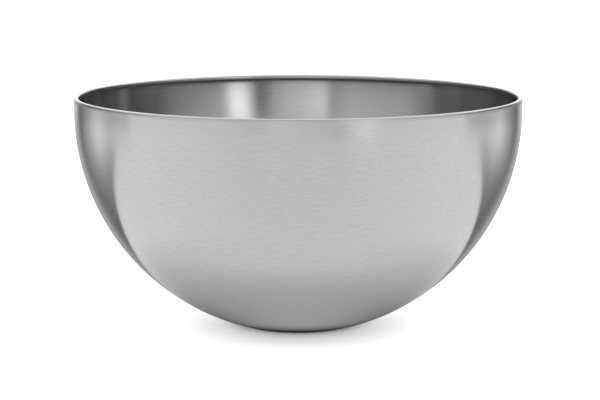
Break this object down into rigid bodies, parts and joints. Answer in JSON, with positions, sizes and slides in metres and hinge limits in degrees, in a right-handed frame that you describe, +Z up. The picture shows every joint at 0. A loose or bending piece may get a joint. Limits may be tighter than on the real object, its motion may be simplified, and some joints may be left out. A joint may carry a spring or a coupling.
{
  "type": "shaving bowl",
  "caption": "Deep, nearly hemispherical metal bowl with a double wall, a thick round rim and a small flat base, for whipping shaving lather.",
  "frame": {"origin": "centre of the flat base's underside, which rests on the table", "axes": "+Z up along the bowl's axis, out of its mouth; the bowl is the same all round, so +X and +Y are free"},
  "size_m": [0.12, 0.12, 0.0621],
  "materials": {
    "outer_steel": "satin stainless steel brushed round the axis, rim polished",
    "inner_steel": "stainless steel polished round the axis, finer than the outside",
    "sealant": "dark grey sealing compound, dull"
  },
  "bodies": {
    "root": {"outer_shell": "outer_steel", "inner_shell": "inner_steel", "rim_seal": "sealant"}
  },
  "joints": []
}
